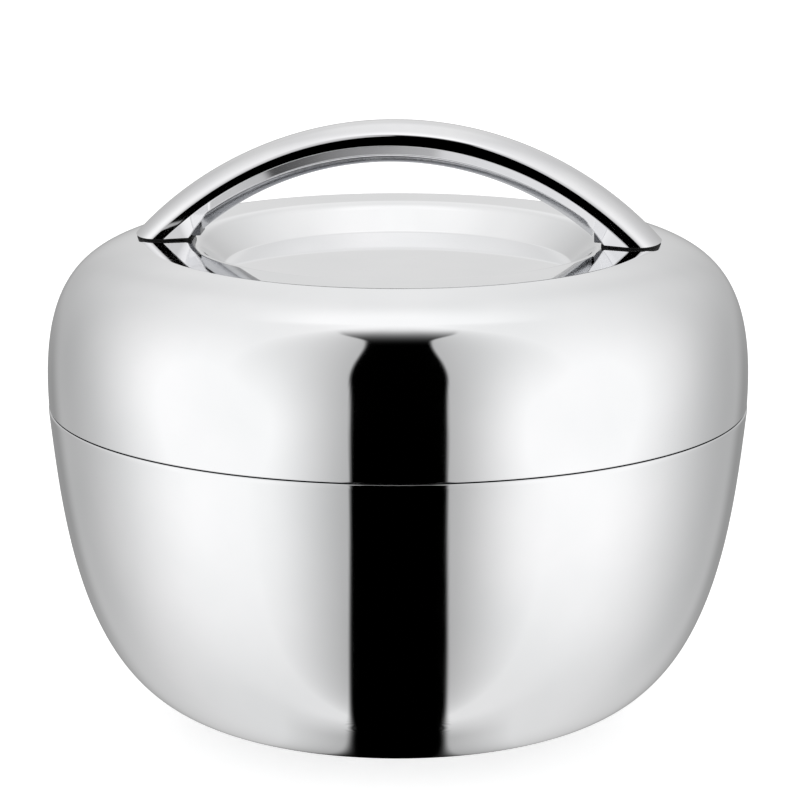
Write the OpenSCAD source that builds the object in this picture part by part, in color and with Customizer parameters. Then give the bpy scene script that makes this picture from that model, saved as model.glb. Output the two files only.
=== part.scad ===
// Insulated serving bowl: a double-walled bowl and a double-walled lid with an arched handle.
// Origin at the middle of the ring the bowl stands on, +Z up, handle along X, millimetres.

/* [Bowl] */
// Outer diameter at the seam between bowl and lid
bowl_d = 179.6; // [170:0.2:190]
// Height from the base to the seam
bowl_h = 81.4; // [76:0.2:88]
// Diameter of the flat of the base
base_d = 88; // [80:1:96]
// Inner diameter of the mouth
mouth_d = 157.2; // [154:0.2:160]
// Depth of the straight part of the mouth, below its flange
mouth_h = 10; // [9:0.5:14]
// Clear height of the foam under the food liner
floor_gap = 9; // [7:0.5:12]
// Diameter of the flat of the liner's floor
floor_d = 76; // [60:1:84]
// Thickness of the steel sheet
steel_t = 0.6; // [0.5:0.05:0.7]
// Clear gap that shows between bowl and lid
seam_gap = 0.4; // [0.3:0.05:0.8]
// How far the foot ring stands below the base
foot_proud = 0.4; // [0.2:0.1:0.8]

/* [Lid] */
// Height of the lid from the seam to its rim
lid_h = 42.4; // [39:0.2:46]
// Diameter of the crisp rim round the dished top
rim_d = 129.6; // [124:0.2:134]
// Width of the flat ring inside the rim
ring_w = 10.3; // [9:0.1:11]
// Depth of the dished floor below the rim
dish_depth = 6.8; // [5.5:0.1:8]
// Slope of the dish's wall, in degrees from level
dish_slope = 41; // [35:1:50]
// Radius of the soft shoulder between ring and wall
shoulder_r = 6.5; // [4:0.5:8]
// Depth of the plug below the seam
plug_h = 8.8; // [8:0.1:10]
// Height of the domed underside above its flange
under_dome_h = 31.8; // [26:0.2:33]

/* [Handle] */
// How far the feet reach past the rim
handle_overhang = 2.55; // [1:0.05:3]
// Height of the arch's top above its feet
handle_rise = 29.8; // [27:0.2:33]
// Width of the arch across the hand
handle_w = 20; // [18:0.5:22]
// Thickness of the arch at the crown of its top
handle_t = 7.8; // [7.4:0.1:8.6]
// Radius of the rounded upper edges
handle_edge_r = 2.2; // [1.9:0.1:2.4]
// Height of the upright band along each side
side_h = 1.7; // [1.4:0.1:2]
// Height of that band above the arch's underside
side_up = 2.6; // [2.4:0.1:2.8]
// Inward slant of the side walls below that band, in degrees
wall_slant = 32; // [24:1:36]
// Wall of the hollow arch
handle_wall = 1.6; // [1.2:0.1:1.8]
// Length of each foot along the lid
foot_l = 17; // [16:0.2:18]
// Thickness of the pad under each foot, over the flat ring
pad_t = 0.5; // [0.4:0.1:1]
// Width of the strip under the arch
strip_w = 14; // [13.4:0.2:14.6]
// Thickness of the strip at the middle
strip_mid_t = 1.5; // [1.2:0.1:2.5]
// Thickness of the strip at its ends, measured upright
strip_end_t = 3.8; // [3:0.1:4.5]

/* [Hidden] */

// Fits and overruns
fit_gap = 0.15;
foam_gap = 0.25;
overrun = 2;

// Bowl's own small sizes
lip_r = 0.75;
collar_top_share = 4 / 7;
collar_ledge_w = 2.6;
collar_ledge_t = 2;
seal_t = 0.6;
flange_w = 3.6;
base_land_w = 3;
base_recess_h = 1.5;
foot_ring_gap = 1.4;
foot_ring_w = 4.6;
base_cap_gap = 4;
base_cap_t = 0.6;

// Lid's own small sizes
plug_gap = 1.2;
plug_wall = 3;
groove_h = 3;
groove_depth = 1.4;
groove_up = 2;
seal_reach = 0.85;
seal_lip_t = 0.8;
lid_ledge_w = 2.3;
lid_ledge_t = 2;
inner_flange_w = 3.4;
ring_drop = 0.1;
dish_fillet_r = 1;

// Handle's own small sizes
screw_r = 2;
screw_head_r = 3.6;
screw_head_h = 2.6;
screw_in = 5.2;
screw_from_end = 6.2;
hole_gap = 0.25;
washer_r = 4.4;
washer_t = 1;
backing_l = 9.6;
backing_w = 15;
backing_t = 2.2;
backing_corner_r = 3;
pad_inset = 0.4;
pad_end_inset = 1.9;
pad_round_r = 7;
pad_inner_r = 2;
web_drop = 2.8;
strip_slant = 45;
strip_edge_t = 0.3;
tongue_h = 1.3;
strip_end_gap = 2.1;
// Edge of the foot's side walls: how far in from the foot's inner end, and how far up
web_steps = [[2.5, 0], [1.1, 2.1], [-1, 4.6], [-1.8, 7]];

// Shares of a curve's own width and height, for its two pulling points
flank_shares = [[0.963, 0.63], [0.915, 0.027]];
dome_shares = [[1.028, 0.712], [0.893, 0.989]];
liner_shares = [[0.985, 0.6], [0.9, 0.02]];
under_dome_shares = [[0.975, 0.62], [0.64, 1]];

// Levels, from the ground up
base_z = foot_proud;
seam_z = base_z + bowl_h;
bowl_top_z = seam_z - seam_gap / 2;
lid_low_z = seam_z + seam_gap / 2;
rim_z = seam_z + lid_h;
dish_z = rim_z - dish_depth;
foot_z = rim_z + pad_t;
flange_z = bowl_top_z - steel_t - collar_ledge_t - seal_t;
plug_z = seam_z - plug_h;

// Radii that several pieces share; the rim is part collar, part steel lip
bowl_r = bowl_d / 2;
lid_r = bowl_r - seam_gap / 2;
mouth_r = mouth_d / 2;
rim_r = rim_d / 2;
base_recess_r = base_d / 2 - base_land_w;
foot_ring_r = base_recess_r - foot_ring_gap;
base_cap_r = foot_ring_r - foot_ring_w - base_cap_gap;
lip_in_r = mouth_r + collar_top_share * (bowl_r - mouth_r);
plug_r = mouth_r - plug_gap;
plug_in_r = plug_r - plug_wall;
ring_in_r = rim_r - ring_w;
ring_z = rim_z - ring_drop;
plate_top_z = ring_z - steel_t - fit_gap;
plate_z = plate_top_z - backing_t;
screw_seat_z = plate_z - washer_t;

// Steps along one curve, round one corner and round one small edge
curve_steps = 28;
corner_steps = 6;

// Straight lines between points, curves and offsets
function unit(v) = v / norm(v);
function left_of(v) = [-v.y, v.x];
function bez(a, b, c, d, t) =
    pow(1 - t, 3) * a + 3 * pow(1 - t, 2) * t * b + 3 * (1 - t) * t * t * c + pow(t, 3) * d;
function curve(a, b, c, d, n = curve_steps) = [for (i = [0:n]) bez(a, b, c, d, i / n)];
function arc(centre, r, a0, a1, n = corner_steps) =
    [for (i = [0:n]) centre + r * [cos(a0 + (a1 - a0) * i / n), sin(a0 + (a1 - a0) * i / n)]];
function backwards(p) = [for (i = [len(p) - 1:-1:0]) p[i]];
function heading(p, i) = unit(p[i + 1] - p[i]);
function mitre(p, i) =
    i == 0 ? left_of(heading(p, 0))
    : i == len(p) - 1 ? left_of(heading(p, i - 1))
    : (left_of(heading(p, i - 1)) + left_of(heading(p, i)))
        / (1 + heading(p, i - 1) * heading(p, i));
// The same line moved to its left by d, or to its right where d is negative
function beside(p, d) = [for (i = [0:len(p) - 1]) p[i] + d * mitre(p, i)];

// Half section of a spun sheet whose outer face is the line p
module spun_sheet(p, t) {
    rotate_extrude()
        polygon(concat(p, backwards(beside(p, t))));
}

// Everything between the line p and the axis
function filled_down(p) = concat(p, [[0, p[len(p) - 1].y], [0, p[0].y]]);

// Bowl: outer face, from the lip's inner edge to the middle of the base
function flank_point(k) =
    [bowl_r * flank_shares[k].x, base_z + (bowl_top_z - lip_r - base_z) * flank_shares[k].y];
bowl_flank = curve([bowl_r, bowl_top_z - lip_r], flank_point(0), flank_point(1), [base_d / 2, base_z]);
bowl_body_line = concat(
    bowl_flank,
    [[base_recess_r + base_recess_h, base_z], [base_recess_r, base_z + base_recess_h],
        [0, base_z + base_recess_h]]);
bowl_line = concat(
    [[lip_in_r, bowl_top_z]],
    arc([bowl_r - lip_r, bowl_top_z - lip_r], lip_r, 90, 15),
    bowl_body_line);

// Bowl: food side of the liner, from the flange's edge to the middle of the floor
liner_floor_z = base_z + base_recess_h + 2 * steel_t + floor_gap;
liner_start_z = flange_z - mouth_h;
function liner_point(k) = [mouth_r * liner_shares[k].x,
    liner_floor_z + (liner_start_z - liner_floor_z) * liner_shares[k].y];
liner_body_line = concat(
    [[mouth_r, flange_z - lip_r]],
    curve([mouth_r, liner_start_z], liner_point(0), liner_point(1), [floor_d / 2, liner_floor_z]),
    [[0, liner_floor_z]]);
liner_line = concat(
    [[mouth_r + flange_w + steel_t, flange_z]],
    arc([mouth_r + lip_r, flange_z - lip_r], lip_r, 90, 165),
    liner_body_line);

// Lid: outer face, from the lip's inner edge over the dome and the dished top to its middle
function dome_point(k) =
    [lid_r * dome_shares[k].x, lid_low_z + lip_r + (rim_z - lid_low_z - lip_r) * dome_shares[k].y];
dish_wall_h = ring_z - dish_z - (shoulder_r + dish_fillet_r) * (1 - cos(dish_slope));
dish_floor_r = ring_in_r - (shoulder_r + dish_fillet_r) * sin(dish_slope)
    - dish_wall_h / tan(dish_slope);
lid_body_line = concat(
    curve([lid_r, lid_low_z + lip_r], dome_point(0), dome_point(1), [rim_r, rim_z]),
    arc([ring_in_r, ring_z - shoulder_r], shoulder_r, 90, 90 + dish_slope),
    arc([dish_floor_r, dish_z + dish_fillet_r], dish_fillet_r, dish_slope - 90, -90),
    [[0, dish_z]]);
lid_line = concat(
    [[lip_in_r, lid_low_z]],
    arc([lid_r - lip_r, lid_low_z + lip_r], lip_r, -90, -15),
    lid_body_line);

// Lid: food side of the inner shell, from its flange's edge to the top of its dome
under_r = plug_in_r - steel_t - fit_gap;
under_top = [0, plug_z + under_dome_h];
function under_point(k) =
    [under_r * under_dome_shares[k].x, plug_z + under_dome_h * under_dome_shares[k].y];
under_line = concat(
    [[under_r + inner_flange_w, plug_z]],
    curve([under_r, plug_z], under_point(0), under_point(1), under_top));

// Arch: one circle through the feet and the top, square to Y
arch_half_span = rim_r + handle_overhang;
arch_r = (pow(arch_half_span, 2) + pow(handle_rise, 2)) / (2 * handle_rise);
arch_z = foot_z + handle_rise - arch_r;
joint_r = arch_r - handle_t;
foot_in_x = arch_half_span - foot_l;
screw_x = foot_in_x + screw_from_end;
edge_up = side_up + side_h;
crown_rise = handle_t - edge_up - handle_edge_r;
edge_y = handle_w / 2 - handle_edge_r;
crown_r = handle_edge_r + (pow(edge_y, 2) + pow(crown_rise, 2)) / (2 * crown_rise);
crown_lean = acos(edge_y / (crown_r - handle_edge_r));
strip_end_x = foot_in_x - strip_end_gap;

// Half width of the slanted walls, moved inward by d, at the height n above the arch's underside
function wall_y(d, n) =
    handle_w / 2 - d / cos(wall_slant) - (side_up - n) * tan(wall_slant);
// Outline of the bar, moved inward by d: slanted walls, upright bands, rounded edges and a crown.
// The first coordinate is the radius from the arch's centre, the second runs across the hand.
function bar_line(d) = concat(
    [[joint_r - web_drop, wall_y(d, -web_drop)],
        [joint_r + side_up + d * tan(wall_slant / 2), handle_w / 2 - d]],
    arc([joint_r + edge_up, edge_y], handle_edge_r - d, 90, 90 - crown_lean),
    arc([joint_r + handle_t - crown_r, 0], crown_r - d, 90 - crown_lean, crown_lean - 90),
    arc([joint_r + edge_up, -edge_y], handle_edge_r - d, crown_lean - 90, -90),
    [[joint_r + side_up + d * tan(wall_slant / 2), d - handle_w / 2],
        [joint_r - web_drop, -wall_y(d, -web_drop)]]);

// Turns a shape round the arch's axis, from foot to foot
arch_start = asin((foot_z - arch_z) / arch_r) - 4;
module along_arch() {
    translate([0, 0, arch_z])
        rotate([90, 0, 0])
            rotate_extrude(angle = 180 - 2 * arch_start, start = arch_start)
                children();
}
// Stands a shape drawn in X and Z across the hand, w wide
module across(w) {
    rotate([90, 0, 0])
        linear_extrude(w, center = true)
            children();
}
// Rounded rectangle from x0 to x1, w wide
function plan(x0, x1, w, r) = concat(
    arc([x1 - r, w / 2 - r], r, 0, 90), arc([x0 + r, w / 2 - r], r, 90, 180),
    arc([x0 + r, r - w / 2], r, 180, 270), arc([x1 - r, r - w / 2], r, 270, 360));
// One copy on the left or the right foot: side is -1 or 1
module at_foot(side) {
    if (side < 0)
        mirror([1, 0, 0])
            children();
    else
        children();
}
// All that lies below the foot plane, with room to spare
module below_feet() {
    translate([0, 0, foot_z - handle_rise])
        cube([4 * arch_half_span, 2 * handle_w, 2 * handle_rise], center = true);
}
// The space above or below the lid's sheet, used to fit pads and plates to it
module over_lid(gap) {
    rotate_extrude()
        polygon(filled_down(beside(lid_body_line, -gap)));
}
module under_lid_sheet() {
    rotate_extrude()
        polygon(filled_down(beside(lid_body_line, steel_t + fit_gap)));
}
module screw_holes(r) {
    for (side = [-1, 1])
        translate([side * screw_x, 0, dish_z - handle_rise])
            cylinder(r = r, h = 2 * handle_rise, $fn = 48);
}

// Bowl pieces
module bowl_outer_shell() {
    color("silver")
        spun_sheet(bowl_line, -steel_t);
}

module bowl_inner_liner() {
    color("gainsboro")
        spun_sheet(liner_line, steel_t);
}

module bowl_collar() {
    ledge_r = lip_in_r + collar_ledge_w;
    color("dimgray")
        rotate_extrude()
            polygon([[mouth_r, flange_z + seal_t], [mouth_r, seam_z], [lip_in_r - fit_gap, seam_z],
                [lip_in_r - fit_gap, bowl_top_z - steel_t], [ledge_r, bowl_top_z - steel_t],
                [ledge_r, flange_z + seal_t]]);
}

module bowl_collar_seal() {
    color("darkslategray")
        rotate_extrude()
            polygon([[mouth_r + lip_r, flange_z], [mouth_r + lip_r, flange_z + seal_t],
                [mouth_r + flange_w, flange_z + seal_t], [mouth_r + flange_w, flange_z]]);
}

module bowl_insulation() {
    foam_top_z = flange_z - steel_t - foam_gap;
    color("khaki")
        rotate_extrude()
            intersection() {
                difference() {
                    polygon(filled_down(beside(bowl_body_line, -steel_t - foam_gap)));
                    polygon(filled_down(beside(liner_body_line, steel_t + foam_gap)));
                }
                square([bowl_r, foam_top_z]);
            }
}

module bowl_base_cap() {
    cap_z = base_z + base_recess_h - base_cap_t;
    color("silver")
        translate([0, 0, cap_z])
            cylinder(r = base_cap_r, h = base_cap_t, $fn = 96);
}

module bowl_foot_ring() {
    ring_h = base_z + base_recess_h;
    edge = ring_h / 3;
    color("dimgray")
        rotate_extrude()
            polygon(concat([[foot_ring_r, ring_h]], [[foot_ring_r - foot_ring_w, ring_h]],
                arc([foot_ring_r - foot_ring_w + edge, edge], edge, 180, 270),
                arc([foot_ring_r - edge, edge], edge, 270, 360)));
}

// Lid pieces
module lid_outer_shell() {
    color("silver")
        difference() {
            spun_sheet(lid_line, steel_t);
            screw_holes(screw_r + hole_gap);
        }
}

module lid_inner_shell() {
    color("gainsboro")
        spun_sheet(under_line, -steel_t);
}

module lid_collar() {
    top_z = lid_low_z + steel_t + lid_ledge_t;
    ledge_r = lip_in_r + lid_ledge_w;
    low_z = plug_z + steel_t;
    groove_z = low_z + groove_up;
    groove_r = plug_r - groove_depth;
    color("dimgray")
        rotate_extrude()
            polygon([[lip_in_r - fit_gap, seam_z], [lip_in_r - fit_gap, lid_low_z + steel_t],
                [ledge_r, lid_low_z + steel_t], [ledge_r, top_z], [plug_in_r, top_z],
                [plug_in_r, low_z], [plug_r, low_z], [plug_r, groove_z], [groove_r, groove_z],
                [groove_r, groove_z + groove_h], [plug_r, groove_z + groove_h], [plug_r, seam_z]]);
}

module lid_seal() {
    groove_r = plug_r - groove_depth + fit_gap;
    low_z = plug_z + steel_t + groove_up;
    out_r = plug_r + seal_reach;
    body_r = plug_r - seal_lip_t / 2;
    color("lightgray")
        rotate_extrude()
            polygon([[groove_r, low_z], [body_r, low_z], [out_r, low_z + seal_lip_t / 2],
                [out_r, low_z + seal_lip_t], [body_r, low_z + seal_lip_t],
                [body_r, low_z + groove_h - seal_lip_t], [out_r, low_z + groove_h - seal_lip_t],
                [out_r, low_z + groove_h - seal_lip_t / 2], [body_r, low_z + groove_h],
                [groove_r, low_z + groove_h]]);
}

module lid_insulation() {
    foam_low_z = lid_low_z + steel_t + lid_ledge_t + foam_gap;
    room_z = screw_seat_z - screw_head_h - foam_gap;
    color("khaki")
        difference() {
            rotate_extrude()
                intersection() {
                    difference() {
                        polygon(filled_down(beside(lid_body_line, steel_t + foam_gap)));
                        polygon(filled_down(beside(under_line, -steel_t - foam_gap)));
                    }
                    translate([0, foam_low_z])
                        square([bowl_r, lid_h]);
                }
            for (side = [-1, 1])
                at_foot(side)
                    translate([0, 0, room_z])
                        linear_extrude(lid_h)
                            polygon(plan(screw_x - backing_l / 2 - foam_gap,
                                screw_x + backing_l / 2 + foam_gap,
                                backing_w + 2 * foam_gap, backing_corner_r));
        }
}

// Handle pieces
module handle_arch() {
    edge = [for (s = web_steps) [foot_in_x + s.x, foot_z + s.y]];
    color("silver")
        difference() {
            along_arch()
                polygon(concat(bar_line(0), backwards(bar_line(handle_wall))));
            // Underside between the feet, where the walls end at the strip
            across(2 * handle_w)
                intersection() {
                    translate([0, arch_z])
                        circle(r = joint_r, $fn = 180);
                    polygon(concat(
                        [[edge[0].x, foot_z - overrun]], edge, [[edge[3].x, foot_z + handle_rise]],
                        [[-edge[3].x, foot_z + handle_rise]],
                        [for (p = backwards(edge)) [-p.x, p.y]], [[-edge[0].x, foot_z - overrun]]));
                }
            below_feet();
        }
}

module handle_liner() {
    end_z = arch_z + sqrt(pow(joint_r, 2) - pow(strip_end_x, 2)) - strip_end_t;
    mid_z = arch_z + joint_r - strip_mid_t;
    low_r = (pow(strip_end_x, 2) + pow(mid_z - end_z, 2)) / (2 * (mid_z - end_z));
    edge_r = joint_r - fit_gap - strip_edge_t;
    side = [[joint_r, strip_w / 2], [edge_r, strip_w / 2],
        [edge_r - strip_end_t, strip_w / 2 - strip_end_t * tan(strip_slant)]];
    color("lightgray")
        union() {
            intersection() {
                across(2 * strip_w)
                    intersection() {
                        difference() {
                            translate([0, arch_z])
                                circle(r = joint_r - fit_gap, $fn = 180);
                            translate([0, mid_z - low_r])
                                circle(r = low_r, $fn = 180);
                        }
                        translate([-strip_end_x, foot_z])
                            square([2 * strip_end_x, 2 * handle_rise]);
                    }
                // Sides that slant in below a short upright edge
                along_arch()
                    polygon(concat(side, [for (p = backwards(side)) [p.x, -p.y]]));
            }
            // Tongue between the arch's side walls
            across(2 * (wall_y(handle_wall, 0) - fit_gap))
                intersection() {
                    translate([0, arch_z])
                        difference() {
                            circle(r = joint_r + tongue_h, $fn = 180);
                            circle(r = joint_r - strip_mid_t / 2, $fn = 180);
                        }
                    translate([-strip_end_x, foot_z])
                        square([2 * strip_end_x, 2 * handle_rise]);
                }
        }
}

// Half width of the room between the foot's walls, at x on the plane of the feet
function room_y(x) = min(handle_w / 2 - handle_wall - fit_gap,
    wall_y(handle_wall + fit_gap, norm([x, foot_z - arch_z]) - joint_r));
// Where the circle of radius r round the arch's centre meets the plane of the feet
function foot_x(r) = sqrt(pow(r, 2) - pow(foot_z - arch_z, 2));

module foot_block(side) {
    top_r = joint_r + edge_up - fit_gap;
    band_x = foot_x(joint_r + side_up);
    half = [for (x = [foot_in_x, screw_x, (screw_x + band_x) / 2, band_x, foot_x(top_r)])
        [x, room_y(x)]];
    color("gainsboro")
        at_foot(side)
            difference() {
                intersection() {
                    across(handle_w)
                        intersection() {
                            translate([0, arch_z])
                                circle(r = top_r, $fn = 180);
                            translate([foot_in_x, foot_z])
                                square([foot_l, handle_rise]);
                        }
                    translate([0, 0, foot_z])
                        linear_extrude(handle_rise)
                            polygon(concat(half, [for (p = backwards(half)) [p.x, -p.y]]));
                }
                translate([screw_x, 0, foot_z - overrun])
                    cylinder(r = screw_r + fit_gap / 2, h = handle_rise, $fn = 48);
            }
}

module handle_foot_block_left() {
    foot_block(-1);
}

module handle_foot_block_right() {
    foot_block(1);
}

module foot_pad(side) {
    in_x = foot_in_x + pad_inset;
    out_x = arch_half_span - pad_end_inset;
    in_y = wall_y(pad_inset, -web_drop);
    out_y = handle_w / 2 - pad_inset;
    half = concat(
        arc([out_x - pad_round_r, out_y - pad_round_r], pad_round_r, 0, 90),
        arc([in_x + pad_inner_r, in_y - pad_inner_r], pad_inner_r, 90 + wall_slant, 180));
    color("black")
        at_foot(side)
            difference() {
                translate([0, 0, dish_z])
                    linear_extrude(foot_z - dish_z)
                        polygon(concat(half, [for (p = backwards(half)) [p.x, -p.y]]));
                over_lid(fit_gap / 2);
                screw_holes(screw_r + hole_gap);
            }
}

module handle_pad_left() {
    foot_pad(-1);
}

module handle_pad_right() {
    foot_pad(1);
}

module backing_plate(side) {
    color("gray")
        at_foot(side)
            difference() {
                intersection() {
                    translate([0, 0, plate_z])
                        linear_extrude(2 * backing_t)
                            polygon(plan(screw_x - backing_l / 2, screw_x + backing_l / 2,
                                backing_w, backing_corner_r));
                    under_lid_sheet();
                }
                screw_holes(screw_r + hole_gap);
            }
}

module handle_backing_left() {
    backing_plate(-1);
}

module handle_backing_right() {
    backing_plate(1);
}

module handle_screws() {
    color("silver")
        for (side = [-1, 1])
            translate([side * screw_x, 0, screw_seat_z])
                union() {
                    cylinder(r = screw_r, h = foot_z + screw_in - screw_seat_z, $fn = 48);
                    translate([0, 0, -screw_head_h])
                        cylinder(r = screw_head_r, h = screw_head_h, $fn = 48);
                }
}

module handle_washers() {
    color("gray")
        for (side = [-1, 1])
            translate([side * screw_x, 0, screw_seat_z])
                difference() {
                    cylinder(r = washer_r, h = washer_t, $fn = 48);
                    translate([0, 0, -overrun])
                        cylinder(r = screw_r + hole_gap, h = washer_t + 2 * overrun, $fn = 48);
                }
}

bowl_outer_shell();
bowl_inner_liner();
bowl_collar();
bowl_collar_seal();
bowl_insulation();
bowl_base_cap();
bowl_foot_ring();
lid_outer_shell();
lid_inner_shell();
lid_collar();
lid_seal();
lid_insulation();
handle_arch();
handle_liner();
handle_foot_block_left();
handle_foot_block_right();
handle_pad_left();
handle_pad_right();
handle_backing_left();
handle_backing_right();
handle_screws();
handle_washers();
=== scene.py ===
# Insulated steel bowl with its lid and arched handle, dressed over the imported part
import math
import bmesh
import bpy
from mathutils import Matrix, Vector


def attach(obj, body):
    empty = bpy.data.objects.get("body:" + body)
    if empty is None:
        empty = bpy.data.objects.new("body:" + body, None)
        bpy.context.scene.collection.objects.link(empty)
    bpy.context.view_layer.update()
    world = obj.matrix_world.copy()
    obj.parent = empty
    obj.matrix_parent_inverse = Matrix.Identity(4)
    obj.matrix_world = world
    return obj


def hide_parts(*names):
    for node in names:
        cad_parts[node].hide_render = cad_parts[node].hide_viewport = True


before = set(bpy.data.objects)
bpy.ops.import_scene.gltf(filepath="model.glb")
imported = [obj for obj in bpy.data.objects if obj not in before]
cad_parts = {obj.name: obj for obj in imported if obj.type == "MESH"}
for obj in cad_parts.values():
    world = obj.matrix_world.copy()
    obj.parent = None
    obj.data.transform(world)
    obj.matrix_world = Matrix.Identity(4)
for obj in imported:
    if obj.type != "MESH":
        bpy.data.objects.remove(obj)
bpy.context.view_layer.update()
mm = 0.001
# points nearer to each other than this, in metres, become one
weldDistance = 1e-7
# and a point nearer to the axis than this, in millimetres, lies on it
axisDistance = 1e-6


def linearLight(tone):
    # one sRGB channel, 0 to 1
    return tone / 12.92 if tone <= 0.04045 else ((tone + 0.055) / 1.055) ** 2.4


def linearColour(hexText):
    return [linearLight(int(hexText[i:i + 2], 16) / 255) for i in (1, 3, 5)] + [1.0]


def addNode(tree, kind, settings=None, inputs=None, links=None, stops=()):
    # stops are the places and colours of a colour ramp
    node = tree.nodes.new(kind)
    for key, value in (settings or {}).items():
        setattr(node, key, value)
    for key, value in (inputs or {}).items():
        node.inputs[key].default_value = value
    for key, source in (links or {}).items():
        tree.links.new(source, node.inputs[key])
    for i, (place, colour) in enumerate(stops):
        node.color_ramp.elements[i].position = place
        node.color_ramp.elements[i].color = linearColour(colour)
    return node


def startMaterial(name):
    material = bpy.data.materials.new(name)
    material.use_nodes = True
    material.node_tree.nodes.clear()
    return material, material.node_tree


def bezier(a, b, c, d, steps):
    points = []
    for i in range(steps + 1):
        t = i / steps
        k = ((1 - t) ** 3, 3 * (1 - t) ** 2 * t, 3 * (1 - t) * t * t, t ** 3)
        points.append(tuple(k[0] * a[j] + k[1] * b[j] + k[2] * c[j] + k[3] * d[j] for j in (0, 1)))
    return points


def arc(centre, radius, start, end, steps):
    points = []
    for i in range(steps + 1):
        angle = math.radians(start + (end - start) * i / steps)
        points.append((centre[0] + radius * math.cos(angle), centre[1] + radius * math.sin(angle)))
    return points


def beside(line, distance):
    # the same line moved to its left, with mitred corners
    moved = []
    for i, point in enumerate(line):
        normals = []
        for a, b in ((i - 1, i), (i, i + 1)):
            if a >= 0 and b < len(line):
                dx, dy = line[b][0] - line[a][0], line[b][1] - line[a][1]
                size = math.hypot(dx, dy)
                normals.append((-dy / size, dx / size))
        nx, ny, share = normals[0][0], normals[0][1], 1
        if len(normals) == 2:
            nx, ny = nx + normals[1][0], ny + normals[1][1]
            share = 1 + normals[0][0] * normals[1][0] + normals[0][1] * normals[1][1]
        moved.append((point[0] + distance * nx / share, point[1] + distance * ny / share))
    return moved


def sheetOutline(line, thickness, plainLine=None):
    # plainLine is the same line with square corners, for the inner face where a corner is too
    # tight for the sheet
    return line + beside(plainLine or line, thickness)[::-1]


def ramp(x, low, high, smooth=True):
    t = min(1, max(0, (x - low) / (high - low)))
    return t * t * (3 - 2 * t) if smooth else t


def change(x, step, smooth=True):
    # step is an amount and the two places between which it comes in
    return step[0] * ramp(x, step[1], step[2], smooth)


def dress(name, mesh, material, body, replaced, sharpAngle=35):
    mesh.polygons.foreach_set("use_smooth", [True] * len(mesh.polygons))
    mesh.set_sharp_from_angle(angle=math.radians(sharpAngle))
    mesh.materials.append(material)
    piece = bpy.data.objects.new(name, mesh)
    bpy.context.scene.collection.objects.link(piece)
    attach(piece, body)
    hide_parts(*replaced)


def meshFrom(name, vertices, faces, bevel=0, bevelAngle=30):
    # vertices in millimetres; with a bevel, every edge sharper than bevelAngle gets a small round
    mesh = bpy.data.meshes.new(name)
    bm = bmesh.new()
    made = [bm.verts.new([c * mm for c in v]) for v in vertices]
    for face in faces:
        bm.faces.new([made[i] for i in face])
    bmesh.ops.remove_doubles(bm, verts=bm.verts, dist=weldDistance)
    bmesh.ops.recalc_face_normals(bm, faces=bm.faces)
    if bevel:
        edges = [e for e in bm.edges if len(e.link_faces) == 2
                 and e.calc_face_angle(0) > math.radians(bevelAngle)]
        bmesh.ops.bevel(bm, geom=edges, offset=bevel * mm, segments=3, profile=0.5,
                        affect="EDGES", clamp_overlap=True)
    bm.to_mesh(mesh)
    bm.free()
    return mesh


def spunMesh(name, outline, segments):
    # turns a closed half section round Z; points on the axis become one vertex
    vertices, rings = [], []
    for r, z in outline:
        if r < axisDistance:
            rings.append([len(vertices)] * segments)
            vertices.append((0, 0, z))
        else:
            rings.append(range(len(vertices), len(vertices) + segments))
            vertices += [(r * math.cos(2 * math.pi * i / segments),
                          r * math.sin(2 * math.pi * i / segments), z) for i in range(segments)]
    faces = []
    for a, b in zip(rings, rings[1:] + rings[:1]):
        for i in range(segments):
            j = (i + 1) % segments
            corners = []
            for c in (a[i], a[j], b[j], b[i]):
                if c not in corners:
                    corners.append(c)
            if len(corners) > 2:
                faces.append(corners)
    return meshFrom(name, vertices, faces)


def loftMesh(name, sections, caps=True, **rounding):
    # joins closed sections that have the same number of points
    size = len(sections[0])
    starts = range(0, len(sections) * size, size)
    faces = [list(range(k, k + size)) for k in (starts[0], starts[-1])] if caps else []
    for a, b in zip(starts, starts[1:]):
        for i in range(size):
            j = (i + 1) % size
            faces.append([a + i, a + j, b + j, b + i])
    return meshFrom(name, [point for section in sections for point in section], faces, **rounding)


print("tools ready")

# What the materials share: a noise tints and roughens, and stays mostly between these two values.
# details is how many finer layers each noise has, strengths is how clearly it stands in relief
noiseSpan = (0.3, 0.7)
details = {"haze": 3.0, "peel": 1.0, "line": 3.0, "flow": 2.0, "grain": 3.0}
strengths = {"peel": 1.0, "line": 0.6, "grain": 0.5}


def finishMaterial(tree, values, colour, rough, relief, strength, depth):
    # relief is a noise that is pressed into the surface, with its depth in millimetres
    bump = addNode(tree, "ShaderNodeBump", inputs={"Strength": strength, "Distance": depth * mm},
                   links={"Height": relief})
    shader = addNode(tree, "ShaderNodeBsdfPrincipled", inputs=values,
                     links={"Base Color": colour, "Roughness": rough, "Normal": bump.outputs["Normal"]})
    addNode(tree, "ShaderNodeOutputMaterial", links={"Surface": shader.outputs["BSDF"]})


# Polished stainless steel, 1.4301, pressed and then buffed on a wheel: a mirror whose
# reflections swim very slightly, with faint haze left by the buffing
polish = {"bright": "#F6F6F7", "soft": "#EFF0F1", "hazeSize": 34, "roughLow": 0.012, "roughHigh": 0.05,
          "peelSize": 9, "peelDepth": 0.0003}


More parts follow.
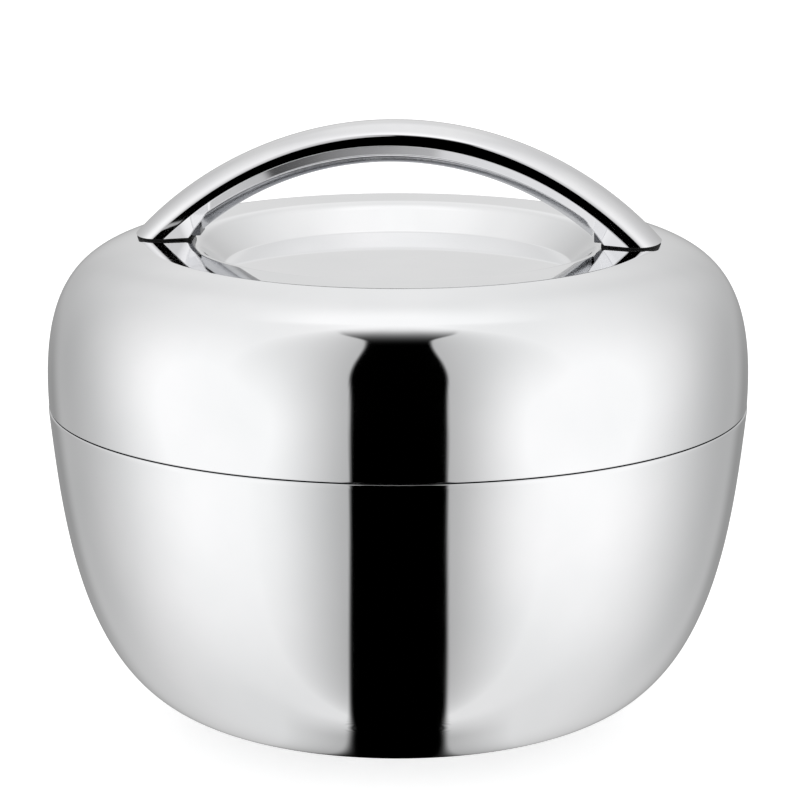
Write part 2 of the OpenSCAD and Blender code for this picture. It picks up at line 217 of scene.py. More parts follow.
def polishedSteel(name, look):
    material, tree = startMaterial(name)
    place = addNode(tree, "ShaderNodeTexCoord").outputs["Object"]
    haze = addNode(tree, "ShaderNodeTexNoise", links={"Vector": place},
                   inputs={"Scale": 1 / (look["hazeSize"] * mm), "Detail": details["haze"]})
    tint = addNode(tree, "ShaderNodeValToRGB", links={"Fac": haze.outputs["Fac"]},
                   stops=zip(noiseSpan, (look["soft"], look["bright"])))
    rough = addNode(tree, "ShaderNodeMapRange", links={"Value": haze.outputs["Fac"]},
                    inputs={"From Min": noiseSpan[0], "From Max": noiseSpan[1],
                            "To Min": look["roughLow"], "To Max": look["roughHigh"]})
    peel = addNode(tree, "ShaderNodeTexNoise", links={"Vector": place},
                   inputs={"Scale": 1 / (look["peelSize"] * mm), "Detail": details["peel"]})
    finishMaterial(tree, {"Metallic": 1.0}, tint.outputs["Color"], rough.outputs["Result"],
                   peel.outputs["Fac"], strengths["peel"], look["peelDepth"])
    return material


mirrorSteel = polishedSteel("buffedStainlessSteel", polish)
# The handle's bar is buffed by hand, in shorter strokes
handlePolish = {"bright": "#F5F5F6", "soft": "#EEEEF0", "hazeSize": 12, "roughLow": 0.015, "roughHigh": 0.05,
                "peelSize": 7, "peelDepth": 0.0002}
handleSteel = polishedSteel("buffedHandleSteel", handlePolish)
# The strip below is rolled and only lightly polished, so its reflections are a little soft
stripPolish = {"bright": "#D2D3D5", "soft": "#C5C6C9", "hazeSize": 9, "roughLow": 0.1, "roughHigh": 0.18,
               "peelSize": 5, "peelDepth": 0.0004}
stripSteel = polishedSteel("rolledStripSteel", stripPolish)
# Die-cast zinc, tumbled smooth: darker than steel, with soft reflections
castPolish = {"bright": "#66676A", "soft": "#55565A", "hazeSize": 4, "roughLow": 0.18, "roughHigh": 0.3,
              "peelSize": 1.5, "peelDepth": 0.002}
castZinc = polishedSteel("tumbledCastZinc", castPolish)

# Stainless steel brushed while it turned: grey, with fine lines that run round the bowl.
# turnSize is how far the noise moves on in one radian, in millimetres: a small one makes long lines
brushed = {"light": "#D2D2D3", "dark": "#B9BABC", "lineSize": 0.45, "turnSize": 5.0,
           "roughLow": 0.24, "roughHigh": 0.36, "lineDepth": 0.004}


def brushedSteel(name, look):
    material, tree = startMaterial(name)
    place = addNode(tree, "ShaderNodeTexCoord")
    split = addNode(tree, "ShaderNodeSeparateXYZ", links={"Vector": place.outputs["Object"]})
    flat = addNode(tree, "ShaderNodeCombineXYZ", links={"X": split.outputs["X"], "Y": split.outputs["Y"]})
    radius = addNode(tree, "ShaderNodeVectorMath", settings={"operation": "LENGTH"},
                     links={0: flat.outputs["Vector"]})
    angle = addNode(tree, "ShaderNodeMath", settings={"operation": "ARCTAN2"},
                    links={0: split.outputs["Y"], 1: split.outputs["X"]})
    turn = addNode(tree, "ShaderNodeMath", settings={"operation": "MULTIPLY"},
                   inputs={1: look["turnSize"] * mm}, links={0: angle.outputs["Value"]})
    across = addNode(tree, "ShaderNodeCombineXYZ", links={"X": radius.outputs["Value"],
                     "Y": split.outputs["Z"], "Z": turn.outputs["Value"]})
    lines = addNode(tree, "ShaderNodeTexNoise", links={"Vector": across.outputs["Vector"]},
                    inputs={"Scale": 1 / (look["lineSize"] * mm), "Detail": details["line"]})
    tint = addNode(tree, "ShaderNodeValToRGB", links={"Fac": lines.outputs["Fac"]},
                   stops=zip(noiseSpan, (look["dark"], look["light"])))
    rough = addNode(tree, "ShaderNodeMapRange", links={"Value": lines.outputs["Fac"]},
                    inputs={"To Min": look["roughLow"], "To Max": look["roughHigh"]})
    finishMaterial(tree, {"Metallic": 1.0}, tint.outputs["Color"], rough.outputs["Result"],
                   lines.outputs["Fac"], strengths["line"], look["lineDepth"])
    return material


satinSteel = brushedSteel("brushedStainlessSteel", brushed)

# Zinc-plated steel, stamped or turned: dull silver with a faint yellow bloom
zinc = {"light": "#C9C8C2", "dark": "#A9A8A2", "lineSize": 0.6, "turnSize": 0.75,
        "roughLow": 0.28, "roughHigh": 0.42, "lineDepth": 0.003}
platedSteel = brushedSteel("zincPlatedSteel", zinc)


# Moulded parts: colour varies a little with the flow, and a fine grain or gloss lies on top
def mouldedPart(name, look):
    material, tree = startMaterial(name)
    place = addNode(tree, "ShaderNodeTexCoord").outputs["Object"]
    flow = addNode(tree, "ShaderNodeTexNoise", links={"Vector": place},
                   inputs={"Scale": 1 / (look["flowSize"] * mm), "Detail": details["flow"]})
    tint = addNode(tree, "ShaderNodeValToRGB", links={"Fac": flow.outputs["Fac"]},
                   stops=zip(noiseSpan, (look["dark"], look["light"])))
    grain = addNode(tree, "ShaderNodeTexNoise", links={"Vector": place},
                    inputs={"Scale": 1 / (look["grainSize"] * mm), "Detail": details["grain"]})
    rough = addNode(tree, "ShaderNodeMapRange", links={"Value": grain.outputs["Fac"]},
                    inputs={"To Min": look["roughLow"], "To Max": look["roughHigh"]})
    finishMaterial(tree, {"IOR": look["ior"]}, tint.outputs["Color"], rough.outputs["Result"],
                   grain.outputs["Fac"], strengths["grain"], look["grainDepth"])
    return material


# Polypropylene with a fine spark-eroded grain: dark grey, low sheen
collarLook = {"light": "#3A3B3D", "dark": "#303133", "flowSize": 30, "grainSize": 0.5, "grainDepth": 0.03,
              "roughLow": 0.42, "roughHigh": 0.58, "ior": 1.49}
polypropylene = mouldedPart("grainedPolypropylene", collarLook)
# Silicone rubber, compression moulded: milky, dusty sheen
sealLook = {"light": "#DADBDC", "dark": "#C9CBCC", "flowSize": 12, "grainSize": 0.4, "grainDepth": 0.02,
            "roughLow": 0.4, "roughHigh": 0.6, "ior": 1.41}
milkySilicone = mouldedPart("milkySilicone", sealLook)
# The same silicone, filled dark grey, under the base
footLook = {"light": "#3C3D3F", "dark": "#2F3032", "flowSize": 10, "grainSize": 0.4, "grainDepth": 0.03,
            "roughLow": 0.5, "roughHigh": 0.68, "ior": 1.41}
darkSilicone = mouldedPart("greySilicone", footLook)
# And black under the handle's feet
padLook = {"light": "#070708", "dark": "#030303", "flowSize": 6, "grainSize": 0.35, "grainDepth": 0.02,
           "roughLow": 0.62, "roughHigh": 0.8, "ior": 1.41}
blackSilicone = mouldedPart("blackSilicone", padLook)
# Polyurethane foam, poured: straw yellow, open cells
foamLook = {"light": "#DDD0A0", "dark": "#C4B27A", "flowSize": 8, "grainSize": 1.0, "grainDepth": 0.25,
            "roughLow": 0.8, "roughHigh": 0.95, "ior": 1.5}
pouredFoam = mouldedPart("pouredFoam", foamLook)
print("materials ready")

# Bowl: the same lines as the solids, with more points so that the mirror stays clean
bowl = {"seamRadius": 89.8, "seamZ": 81.8, "baseZ": 0.4, "gap": 0.4, "lipRadius": 0.35, "lipWidth": 4.8,
        "flatRadius": 44.0, "recessRadius": 41.0, "recessHeight": 1.5, "recessRound": 0.7,
        "recessTurn": -150, "steel": 0.6, "flank": ((86.48, 51.08), (82.17, 2.57)), "lipTurn": 8,
        "segments": 288, "steps": 96, "lipSteps": 6, "recessSteps": 4}
bowlTop = bowl["seamZ"] - bowl["gap"] / 2
recessZ = bowl["baseZ"] + bowl["recessHeight"]
bowlBody = (bezier((bowl["seamRadius"], bowlTop - bowl["lipRadius"]), *bowl["flank"],
                   (bowl["flatRadius"], bowl["baseZ"]), bowl["steps"])
            + arc((bowl["recessRadius"] + bowl["recessHeight"], bowl["baseZ"] + bowl["recessRound"]),
                  bowl["recessRound"], -90, bowl["recessTurn"], bowl["recessSteps"])
            + [(bowl["recessRadius"], recessZ), (0, recessZ)])
lipInner = bowl["seamRadius"] - bowl["lipWidth"]
bowlCorner = arc((bowl["seamRadius"] - bowl["lipRadius"], bowlTop - bowl["lipRadius"]), bowl["lipRadius"],
                 90, bowl["lipTurn"], bowl["lipSteps"])
bowlOutline = sheetOutline([(lipInner, bowlTop)] + bowlCorner + bowlBody, -bowl["steel"],
                           [(lipInner, bowlTop), (bowl["seamRadius"], bowlTop)] + bowlBody[1:])
dress("bowlOuterSkin", spunMesh("bowlOuterSkin", bowlOutline, bowl["segments"]),
      mirrorSteel, "bowl", ["bowl_outer_shell"])

liner = {"mouthRadius": 78.6, "flangeZ": 78.4, "flangeWidth": 4.2, "cornerRadius": 0.75, "cornerTurn": 172,
         "cornerSteps": 8, "straight": 10.0, "floorZ": 12.1, "floorRadius": 38.0,
         "pull": ((77.42, 45.88), (70.74, 13.23)), "segments": 256, "steps": 72}
linerLine = ([(liner["mouthRadius"] + liner["flangeWidth"], liner["flangeZ"])]
             + arc((liner["mouthRadius"] + liner["cornerRadius"], liner["flangeZ"] - liner["cornerRadius"]),
                   liner["cornerRadius"], 90, liner["cornerTurn"], liner["cornerSteps"])
             + bezier((liner["mouthRadius"], liner["flangeZ"] - liner["straight"]), *liner["pull"],
                      (liner["floorRadius"], liner["floorZ"]), liner["steps"])
             + [(0, liner["floorZ"])])
dress("bowlLinerSkin", spunMesh("bowlLinerSkin", sheetOutline(linerLine, bowl["steel"]), liner["segments"]),
      satinSteel, "bowl", ["bowl_inner_liner"])
print("bowl ready")

# Lid: dome, crisp rim, flat ring and the dish that the handle stands over. Its ring, wall and floor
# are kept flat between close pairs of points; ringStops and floorStops lie in from their outer edges
lid = {"lowZ": 81.85, "radius": 89.7, "rimZ": 124.2, "rimRadius": 64.8,
       "dome": ((91.6, 114.6), (80.3, 121.7)), "ringRadius": 54.5, "ringDrop": 0.1,
       "ringStops": (0.12, 0.4, 5.0, 9.9), "shoulder": 6.5, "slope": 41.0, "fillet": 1.0,
       "wallShares": (0.03, 0.5, 0.97), "dishDepth": 6.8, "floorStops": (0.3, 3),
       "segments": 288, "steps": 96, "shoulderSteps": 20, "filletSteps": 8}
ringZ = lid["rimZ"] - lid["ringDrop"]
dishZ = lid["rimZ"] - lid["dishDepth"]
lean = math.radians(lid["slope"])
wallHeight = ringZ - dishZ - (lid["shoulder"] + lid["fillet"]) * (1 - math.cos(lean))
dishRadius = (lid["ringRadius"] - (lid["shoulder"] + lid["fillet"]) * math.sin(lean)
              - wallHeight / math.tan(lean))
dome = bezier((lid["radius"], lid["lowZ"] + bowl["lipRadius"]), *lid["dome"],
              (lid["rimRadius"], lid["rimZ"]), lid["steps"])
ring = [(lid["rimRadius"] - s, lid["rimZ"] - lid["ringDrop"] * s / (lid["rimRadius"] - lid["ringRadius"]))
        for s in lid["ringStops"]]
shoulder = arc((lid["ringRadius"], ringZ - lid["shoulder"]), lid["shoulder"], 90, 90 + lid["slope"],
               lid["shoulderSteps"])
fillet = arc((dishRadius, dishZ + lid["fillet"]), lid["fillet"], lid["slope"] - 90, -90, lid["filletSteps"])
wallStart, wallEnd = shoulder[-1], fillet[0]
wall = [tuple(wallStart[j] + (wallEnd[j] - wallStart[j]) * s for j in (0, 1)) for s in lid["wallShares"]]
dishFloor = [(dishRadius - s, dishZ) for s in lid["floorStops"]] + [(dishRadius / 2, dishZ), (0, dishZ)]
lidTop = ring + shoulder + wall + fillet + dishFloor
lidCorner = arc((lid["radius"] - bowl["lipRadius"], lid["lowZ"] + bowl["lipRadius"]), bowl["lipRadius"],
                -90, -bowl["lipTurn"], bowl["lipSteps"])
lidOutline = sheetOutline([(lipInner, lid["lowZ"])] + lidCorner + dome + lidTop, bowl["steel"],
                          [(lipInner, lid["lowZ"]), (lid["radius"], lid["lowZ"])] + dome[1:] + lidTop)
dress("lidOuterSkin", spunMesh("lidOuterSkin", lidOutline, lid["segments"]),
      mirrorSteel, "lid", ["lid_outer_shell"])

underside = {"radius": 73.65, "lowZ": 73.0, "flangeWidth": 3.4, "domeHeight": 31.8,
             "pull": ((71.81, 92.72), (47.14, 104.8)), "segments": 256, "steps": 72}
undersideLine = ([(underside["radius"] + underside["flangeWidth"], underside["lowZ"])]
                 + bezier((underside["radius"], underside["lowZ"]), *underside["pull"],
                          (0, underside["lowZ"] + underside["domeHeight"]), underside["steps"]))
undersideMesh = spunMesh("lidInnerSkin", sheetOutline(undersideLine, -bowl["steel"]), underside["segments"])
dress("lidInnerSkin", undersideMesh, satinSteel, "lid", ["lid_inner_shell"])
print("lid ready")

# Handle: a bent bar, open below: a half-elliptic top, an upright band along each side, and
# slanted side walls that reach lower at the feet. Band and slanted walls are kept flat between pairs
# of points, a pair apart; lipRound gives points of the walls' lower round as shares of the lip:
# up, up to where the wall's width is taken, and in from there
bar = {"footZ": 124.7, "rise": 29.8, "halfSpan": 67.35, "thick": 7.8, "width": 20.0, "wall": 1.6,
       "bandTopMid": 5.05, "bandTopFoot": 3.8, "bandTopSpan": (50, 82),
       "bandLowMid": 3.03, "bandLowFoot": 2.0, "bandLowSpan": (46, 86), "bandFlare": 0.04, "bandEdge": 0.05,
       "slantMid": 33.0, "slantFoot": 31.0, "lipMid": 0.6, "lipFoot": 0.3, "slantSpan": (55, 85),
       "lipRound": ((0, 0, 1), (0.1, 0, 0.45), (0.45, 0.45, 0.08)),
       "crease": 0.12, "creaseDepth": 0.03, "pair": 0.08, "innerBevel": 0.2,
       "topSteps": 34, "innerSteps": 9, "stepsPerDegree": 2, "overrun": 3}
barR = (bar["halfSpan"] ** 2 + bar["rise"] ** 2) / (2 * bar["rise"])
barZ = bar["footZ"] + bar["rise"] - barR
jointR = barR - bar["thick"]
footDepth = bar["footZ"] - barZ
# where the walls end below the bar's underside, by the angle round the arch from the horizon
footLine = ((46.0, -2.8), (48.6, -2.6), (49.6, -2.2), (50.9, -1.63), (52.0, -1.24), (53.1, -0.88),
            (53.8, -0.45), (54.3, -0.1), (54.8, 0.0))


def along(table, x):
    if x <= table[0][0]:
        return table[0][1]
    for (x0, y0), (x1, y1) in zip(table, table[1:]):
        if x <= x1:
            return y0 + (y1 - y0) * (x - x0) / (x1 - x0)
    return table[-1][1]


def between(low, high, share):
    return low + (high - low) * share


def overBand(bandTop, inward, steps):
    # quarter of an ellipse from the top of the band to just before the middle, as (height, y)
    rise = bar["thick"] - bandTop - inward
    reach = bar["width"] / 2 - inward
    return [(bandTop + rise * math.sin(math.pi / 2 * i / steps), reach * math.cos(math.pi / 2 * i / steps))
            for i in range(steps)]


def barSection(angle):
    # outer and inner line as (height above the underside, y), the same number of points at every angle
    fromFoot = min(angle, 180 - angle)
    low = along(footLine, fromFoot)
    middle = ramp(fromFoot, *bar["slantSpan"])
    bandLow = between(bar["bandLowFoot"], bar["bandLowMid"], ramp(fromFoot, *bar["bandLowSpan"]))
    bandTop = between(bar["bandTopFoot"], bar["bandTopMid"], ramp(fromFoot, *bar["bandTopSpan"]))
    slant = math.radians(between(bar["slantFoot"], bar["slantMid"], middle))
    lip = between(bar["lipFoot"], bar["lipMid"], middle)
    thick, side, crease, pair = bar["wall"], bar["width"] / 2, bar["crease"], bar["pair"]

    def wallY(inward, height):
        return side - inward / math.cos(slant) - (bandLow - height) * math.tan(slant)

    outer = [(low + up * lip, wallY(0, low + taken * lip) - inward * lip)
             for up, taken, inward in bar["lipRound"]]
    outer += [(n, wallY(0, n))
              for n in (low + lip, low + lip + pair, bandLow - crease - pair, bandLow - crease)]
    outer += [(bandLow, side - bar["bandFlare"] - bar["creaseDepth"])]
    outer += [(n, side - bar["bandFlare"] * (bandTop - n) / (bandTop - bandLow))
              for n in (bandLow + crease, bandLow + crease + pair, bandTop - bar["bandEdge"])]
    outer += overBand(bandTop, 0, bar["topSteps"])
    turn = bandLow + thick * math.tan(slant / 2)
    bevel = bar["innerBevel"]
    inner = [(low, wallY(thick, low) + bevel), (low + bevel, wallY(thick, low + bevel)),
             (turn, side - thick)]
    inner += overBand(bandTop, thick, bar["innerSteps"])
    return (outer + [(bar["thick"], 0.0)] + [(n, -y) for n, y in outer[::-1]],
            inner + [(bar["thick"] - thick, 0.0)] + [(n, -y) for n, y in inner[::-1]])


def sweptBar(name):
    # swept a little past its feet and then cut level
    first = math.degrees(math.asin(footDepth / barR)) - bar["overrun"]
    count = int((180 - 2 * first) * bar["stepsPerDegree"])
    sections = []
    for i in range(count + 1):
        angle = first + (180 - 2 * first) * i / count
        outer, inner = barSection(angle)
        out, up = math.cos(math.radians(angle)), math.sin(math.radians(angle))
        sections.append([((jointR + n) * out, y, barZ + (jointR + n) * up) for n, y in outer + inner[::-1]])
    mesh = loftMesh(name, sections, caps=False)
    bm = bmesh.new()
    bm.from_mesh(mesh)
    bmesh.ops.bisect_plane(bm, geom=bm.verts[:] + bm.edges[:] + bm.faces[:], dist=weldDistance,
                           plane_co=(0, 0, bar["footZ"] * mm), plane_no=(0, 0, -1), clear_outer=True)
    bmesh.ops.holes_fill(bm, edges=[e for e in bm.edges if e.is_boundary], sides=0)
    bmesh.ops.recalc_face_normals(bm, faces=bm.faces)
    bm.to_mesh(mesh)
    bm.free()
    return mesh


dress("handleBar", sweptBar("handleBar"), handleSteel, "lid", ["handle_arch"],
      sharpAngle=32)

# Strip under the bar: its sides slant in below a short upright edge, and it deepens to its ends.
# lowRound gives points of the lower corner in and up, as shares of the round
strip = {"width": 14.0, "endX": 49.8, "endThick": 3.9, "midThick": 1.9, "fit": 0.15, "edge": 0.3,
         "topBevel": 0.15, "edgeBevel": 0.08, "round": 0.4,
         "lowRound": ((0.7, 0.7), (0.3, 0.35), (-0.2, 0.12), (-0.8, 0)), "stations": 120}
stripTop = jointR - strip["fit"]
midLow = barZ + jointR - strip["midThick"]
endLow = barZ + math.sqrt(jointR ** 2 - strip["endX"] ** 2) - strip["endThick"]
lowR = (strip["endX"] ** 2 + (midLow - endLow) ** 2) / (2 * (midLow - endLow))


def stripMesh(name):
    side, edge, bevel = strip["width"] / 2, strip["edge"], strip["edgeBevel"]
    sections = []
    for i in range(strip["stations"] + 1):
        x = strip["endX"] * (2 * i / strip["stations"] - 1)
        top = barZ + math.sqrt(stripTop ** 2 - x * x)
        low = midLow - lowR + math.sqrt(lowR ** 2 - x * x)
        inner = side - (top - edge - low)
        half = [(side - strip["topBevel"], top), (side, top - strip["topBevel"]), (side, top - edge + bevel),
                (side - bevel, top - edge - bevel / 2)]
        half += [(inner + a * strip["round"], low + b * strip["round"]) for a, b in strip["lowRound"]]
        sections.append([(x, y, z) for y, z in half] + [(x, -y, z) for y, z in half[::-1]])
    return loftMesh(name, sections)


dress("handleStrip", stripMesh("handleStrip"), stripSteel, "lid", ["handle_liner"])

# Foot blocks: they fill the hollow of the bar down to the pads, with a dark slit along each wall
block = {"innerX": 50.35, "slit": 0.5, "roof": 0.4, "endGap": 0.3, "stations": 20,
         "bevel": 0.25, "bevelAngle": 45}


def wallInside(x, z):
    # half width of the hollow at a place on the bar's foot
    height = math.hypot(x, z - barZ) - jointR
    slant = math.radians(bar["slantFoot"])
    lower = max(0, bar["bandLowFoot"] - height) * math.tan(slant)
    return bar["width"] / 2 - bar["wall"] / math.cos(slant) - lower


def blockMesh(name, side):
    topR = jointR + bar["bandTopFoot"] - block["roof"]
    endX = math.sqrt(topR ** 2 - footDepth ** 2) - block["endGap"]
    sections = []
    for i in range(block["stations"] + 1):
        x = between(block["innerX"], endX, i / block["stations"])
        top = barZ + math.sqrt(topR ** 2 - x * x)
        lowY = wallInside(x, bar["footZ"]) - block["slit"]
        highY = min(wallInside(x, top), bar["width"] / 2 - bar["wall"]) - block["slit"]
        corners = [(lowY, bar["footZ"]), (highY, top), (-highY, top), (-lowY, bar["footZ"])]
        sections.append([(side * x, y, z) for y, z in corners])
    return loftMesh(name, sections, bevel=block["bevel"], bevelAngle=block["bevelAngle"])


# Pads: the outline of the foot, a little smaller, down to the lid that they lie on
pad = {"inset": 0.2, "lift": 0.04, "below": 2.6, "wallSteps": 24, "topSteps": 30}


def lidHeight(r):
    if r > lid["rimRadius"]:
        for (r0, z0), (r1, z1) in zip(dome, dome[1:]):
            if r1 <= r <= r0:
                return z0 + (z1 - z0) * (r - r0) / (r1 - r0)
    if r > lid["ringRadius"]:
        return lid["rimZ"]
    return ringZ - lid["shoulder"] + math.sqrt(lid["shoulder"] ** 2 - (lid["ringRadius"] - r) ** 2)


def padMesh(name, side):
    slant = math.tan(math.radians(bar["slantFoot"]))
    outline = []
    for i in range(pad["wallSteps"] + 1):
        n = between(-pad["below"], bar["bandTopFoot"], i / pad["wallSteps"])
        outline.append((n, bar["width"] / 2 - max(0, bar["bandLowFoot"] - n) * slant))
    outline += overBand(bar["bandTopFoot"], 0, pad["topSteps"])[1:]
    sections = []
    for n, y in outline:
        x = math.sqrt((jointR + n) ** 2 - footDepth ** 2) - pad["inset"]
        y = y - min(pad["inset"], y / 2)
        low = [lidHeight(math.hypot(x, w)) + pad["lift"] for w in (y, y / 2, 0)]
        corners = [(y, bar["footZ"]), (y, low[0]), (y / 2, low[1]), (0, low[2]), (-y / 2, low[1]),
                   (-y, low[0]), (-y, bar["footZ"])]
        sections.append([(side * x, w, z) for w, z in corners])
    return loftMesh(name, sections)


for side, sign in (("left", -1), ("right", 1)):
    dress(side + "FootBlock", blockMesh(side + "FootBlock", sign), castZinc, "lid",
          ["handle_foot_block_" + side])
    dress(side + "FootPad", padMesh(side + "FootPad", sign), blackSilicone, "lid",
          ["handle_pad_" + side])
print("handle ready")

# Carried-over solids get their materials
finishes = {"bowl_collar": polypropylene, "lid_collar": polypropylene, "bowl_collar_seal": milkySilicone,
            "lid_seal": milkySilicone, "bowl_insulation": pouredFoam, "lid_insulation": pouredFoam,
            "bowl_base_cap": satinSteel, "bowl_foot_ring": darkSilicone,
            "handle_backing_left": platedSteel, "handle_backing_right": platedSteel,
            "handle_screws": platedSteel, "handle_washers": platedSteel}
for node, finish in finishes.items():
    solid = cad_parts[node]
    solid.data.materials.clear()
    solid.data.materials.append(finish)

# Studio: a large tent of lit cloth with a dark gap where the camera stands. Its sizes are in metres,
# and reflectance is the steel's, so that the cloth's tones are those that the mirror shows
studio = {"tentRadius": 3.2, "middleZ": 0.09, "columns": 540, "rows": 180, "gapAzimuth": 5.75,
          "reflectance": 0.905}
# The cloth's display tones, 0 to 255. A triple is a change of tone and the two angles between which it
# comes, a pair is two angles alone; azimuths count from the gap's middle, elevations from the horizon
cloth = {"peak": 251,
         "side": 167, "sideRise": (97, 6, 45), "sideFall": (103, 70, 138),
         "high": 184, "highRise": (53, 18, 60), "highBlend": (-29, 70),
         "low": 167, "lowRise": (58, 20, 51), "lowFall": (5, 64, 89), "lowBlend": (-3, 67),
         "back": 215, "backRise": (18, 14, 28), "backSides": (157, 180),
         "backFrom": (-6, 10), "backTo": (45, 65),
         "dip": (30, 142, 156), "dipFrom": (0, 14), "dipTo": (16, 36),
         "roof": 251, "roofFrom": (70, 90), "roofReach": (11, 80, 110)}
# The gap's half width and its changes, by the angle up, over or under the camera. Beside its lower
# part the cloth is in shade: a tone, and the two half widths between which it fades
gap = {"half": 0.256, "neck": (0.122, 20, 66), "head": (0.08, 64, 76), "hip": (0.012, 5, 30),
       "tail": (0.225, 30, 175), "edge": (-0.012, 0.014), "topEnd": (58, 83), "lowEnd": (150, 170),
       "shade": (45, 1.1, 2.6), "shadeFrom": (82, 105), "shadeTo": (150, 175)}


def clothTone(azimuth, elevation):
    side = cloth["side"] + change(azimuth, cloth["sideRise"]) - change(azimuth, cloth["sideFall"])
    high = cloth["high"] + change(azimuth, cloth["highRise"], smooth=False)
    low = cloth["low"] + change(azimuth, cloth["lowRise"], smooth=False) - change(azimuth, cloth["lowFall"])
    tone = (side + (high - side) * ramp(elevation, *cloth["highBlend"])
            + (low - side) * ramp(-elevation, *cloth["lowBlend"]))
    # the back stands in more light above the table, and in less just below it
    back = cloth["back"] + change(elevation, cloth["backRise"])
    tone += ((back - tone) * ramp(azimuth, *cloth["backSides"]) * ramp(elevation, *cloth["backFrom"])
             * (1 - ramp(elevation, *cloth["backTo"])))
    tone -= (change(azimuth, cloth["dip"]) * ramp(-elevation, *cloth["dipFrom"])
             * (1 - ramp(-elevation, *cloth["dipTo"])))
    # the roof is brightest, and reaches further down at the back
    reach = change(azimuth, cloth["roofReach"])
    tone += (cloth["roof"] - tone) * ramp(elevation + reach, *cloth["roofFrom"])
    return darkened(tone, azimuth, elevation)


def darkened(tone, azimuth, elevation):
    a, e = math.radians(azimuth), math.radians(elevation)
    sideways = math.cos(e) * math.sin(a)
    upright = math.degrees(math.atan2(math.sin(e), math.cos(e) * math.cos(a)))
    half = (gap["half"] - change(upright, gap["neck"]) + change(upright, gap["head"])
            - change(-upright, gap["hip"]) - change(-upright, gap["tail"]))
    shade = gap["shade"][0] - change(sideways / half, gap["shade"], smooth=False)
    tone -= shade * ramp(-upright, *gap["shadeFrom"]) * (1 - ramp(-upright, *gap["shadeTo"]))
    inGap = ((1 - ramp(sideways, half + gap["edge"][0], half + gap["edge"][1]))
             * (1 - ramp(upright, *gap["topEnd"])) * (1 - ramp(-upright, *gap["lowEnd"])))
    return min(tone, cloth["peak"]) * (1 - inGap)


def makeTent():
    columns, rows = studio["columns"], studio["rows"]
    vertices, tones = [], []
    for j in range(rows + 1):
        elevation = -90 + 180 * j / rows
        e = math.radians(elevation)
        for i in range(columns):
            azimuth = 360 * i / columns
            a = math.radians(azimuth + studio["gapAzimuth"])
            vertices.append((math.sin(a) * math.cos(e) * studio["tentRadius"],
                             -math.cos(a) * math.cos(e) * studio["tentRadius"],
                             math.sin(e) * studio["tentRadius"] + studio["middleZ"]))
            tones.append(clothTone(min(azimuth, 360 - azimuth), elevation) / 255)
    faces = [[j * columns + i, j * columns + (i + 1) % columns, (j + 1) * columns + (i + 1) % columns,
              (j + 1) * columns + i] for j in range(rows) for i in range(columns)]
    mesh = bpy.data.meshes.new("tent")
    mesh.from_pydata(vertices, [], faces)
    glow = mesh.color_attributes.new("glow", "FLOAT_COLOR", "POINT")
    for k, tone in enumerate(tones):
        glow.data[k].color = [linearLight(tone)] * 3 + [1]
    mesh.polygons.foreach_set("use_smooth", [True] * len(mesh.polygons))
    material, tree = startMaterial("litTentCloth")
    colour = addNode(tree, "ShaderNodeAttribute", settings={"attribute_name": "glow"})
    light = addNode(tree, "ShaderNodeEmission", inputs={"Strength": 1 / studio["reflectance"]},
                    links={"Color": colour.outputs["Color"]})
    addNode(tree, "ShaderNodeOutputMaterial", links={"Surface": light.outputs["Emission"]})
    mesh.materials.append(material)
    tent = bpy.data.objects.new("tent", mesh)
    bpy.context.scene.collection.objects.link(tent)
    tent.visible_camera = False
    tent.visible_shadow = False


makeTent()

# Floor: a plain pale disc that takes the object's shadow and isn't mirrored in the steel. Its
# cameraGlow is light that only the camera sees
floorLook = {"colour": "#EDEDED", "radius": 9.0, "steps": 96, "cameraGlow": 0.58}


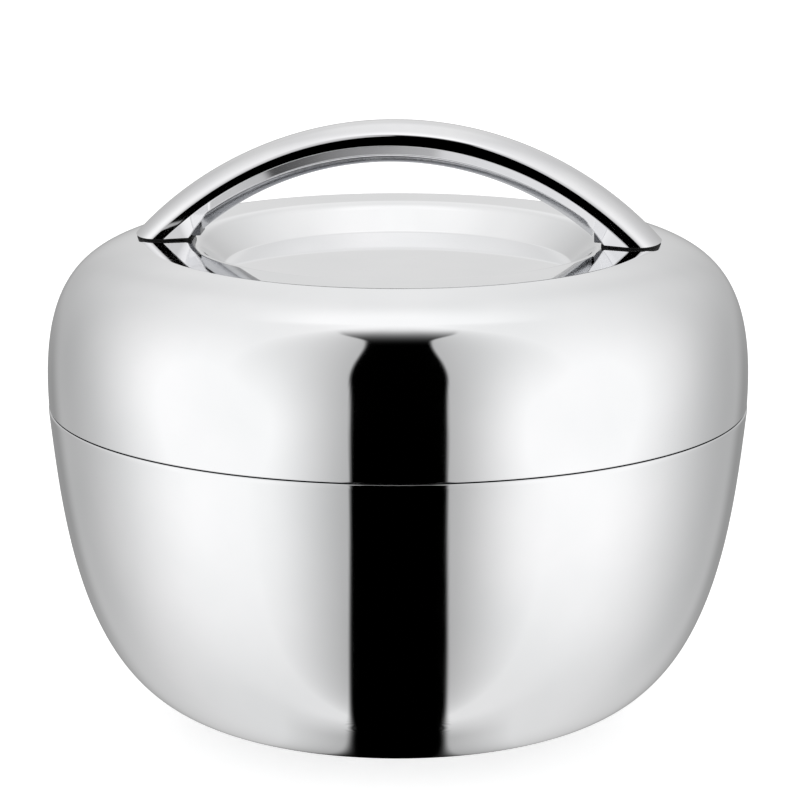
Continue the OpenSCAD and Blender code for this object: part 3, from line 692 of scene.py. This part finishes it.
def makeFloor():
    edge = arc((0, 0), floorLook["radius"], 0, 360, floorLook["steps"])[:-1]
    vertices = [(x, y, 0) for x, y in [(0, 0)] + edge]
    faces = [[0, 1 + i, 1 + (i + 1) % floorLook["steps"]] for i in range(floorLook["steps"])]
    mesh = bpy.data.meshes.new("floor")
    mesh.from_pydata(vertices, [], faces)
    material, tree = startMaterial("paleFloor")
    matt = addNode(tree, "ShaderNodeBsdfDiffuse", inputs={"Color": linearColour(floorLook["colour"])})
    path = addNode(tree, "ShaderNodeLightPath")
    level = addNode(tree, "ShaderNodeMath", settings={"operation": "MULTIPLY"},
                    inputs={1: floorLook["cameraGlow"]}, links={0: path.outputs["Is Camera Ray"]})
    glow = addNode(tree, "ShaderNodeEmission", links={"Strength": level.outputs["Value"]})
    both = addNode(tree, "ShaderNodeAddShader", links={0: matt.outputs["BSDF"], 1: glow.outputs["Emission"]})
    addNode(tree, "ShaderNodeOutputMaterial", links={"Surface": both.outputs["Shader"]})
    mesh.materials.append(material)
    floor = bpy.data.objects.new("floor", mesh)
    bpy.context.scene.collection.objects.link(floor)
    floor.visible_glossy = False


makeFloor()

# World: white where it is seen, mirrored or looked at through something, and a softer fill elsewhere
worldLook = {"fill": 0.8, "seen": 1.0}


def makeWorld():
    world = bpy.data.worlds.new("studioWorld")
    world.use_nodes = True
    tree = world.node_tree
    tree.nodes.clear()
    path = addNode(tree, "ShaderNodeLightPath")
    seen = addNode(tree, "ShaderNodeMath", settings={"operation": "MAXIMUM"},
                   links={0: path.outputs["Is Camera Ray"], 1: path.outputs["Is Glossy Ray"]})
    seenOrThrough = addNode(tree, "ShaderNodeMath", settings={"operation": "MAXIMUM"},
                            links={0: seen.outputs["Value"], 1: path.outputs["Is Transmission Ray"]})
    strength = addNode(tree, "ShaderNodeMapRange",
                       inputs={"To Min": worldLook["fill"], "To Max": worldLook["seen"]},
                       links={"Value": seenOrThrough.outputs["Value"]})
    sky = addNode(tree, "ShaderNodeBackground", links={"Strength": strength.outputs["Result"]})
    addNode(tree, "ShaderNodeOutputWorld", links={"Surface": sky.outputs["Background"]})
    bpy.context.scene.world = world


makeWorld()

# Camera: the photograph's viewpoint, with its angles in degrees and its places in metres
camera = {"distance": 1.103, "pitch": 12.97, "azimuth": 5.5, "sensor": 36, "lens": 192.47,
          "aim": (0, 0, 0.0818), "shiftX": 0.0025, "shiftY": -0.0005}


def makeCamera():
    data = bpy.data.cameras.new("camera")
    data.sensor_width = camera["sensor"]
    data.lens = camera["lens"]
    data.shift_x, data.shift_y = camera["shiftX"], camera["shiftY"]
    view = bpy.data.objects.new("camera", data)
    bpy.context.scene.collection.objects.link(view)
    a, e = math.radians(camera["azimuth"]), math.radians(camera["pitch"])
    back = Vector((math.sin(a) * math.cos(e), -math.cos(a) * math.cos(e), math.sin(e)))
    view.location = Vector(camera["aim"]) + back * camera["distance"]
    view.rotation_euler = (-back).to_track_quat("-Z", "Y").to_euler()
    bpy.context.scene.camera = view


makeCamera()
bpy.context.scene.view_settings.view_transform = "Standard"
print("studio ready")
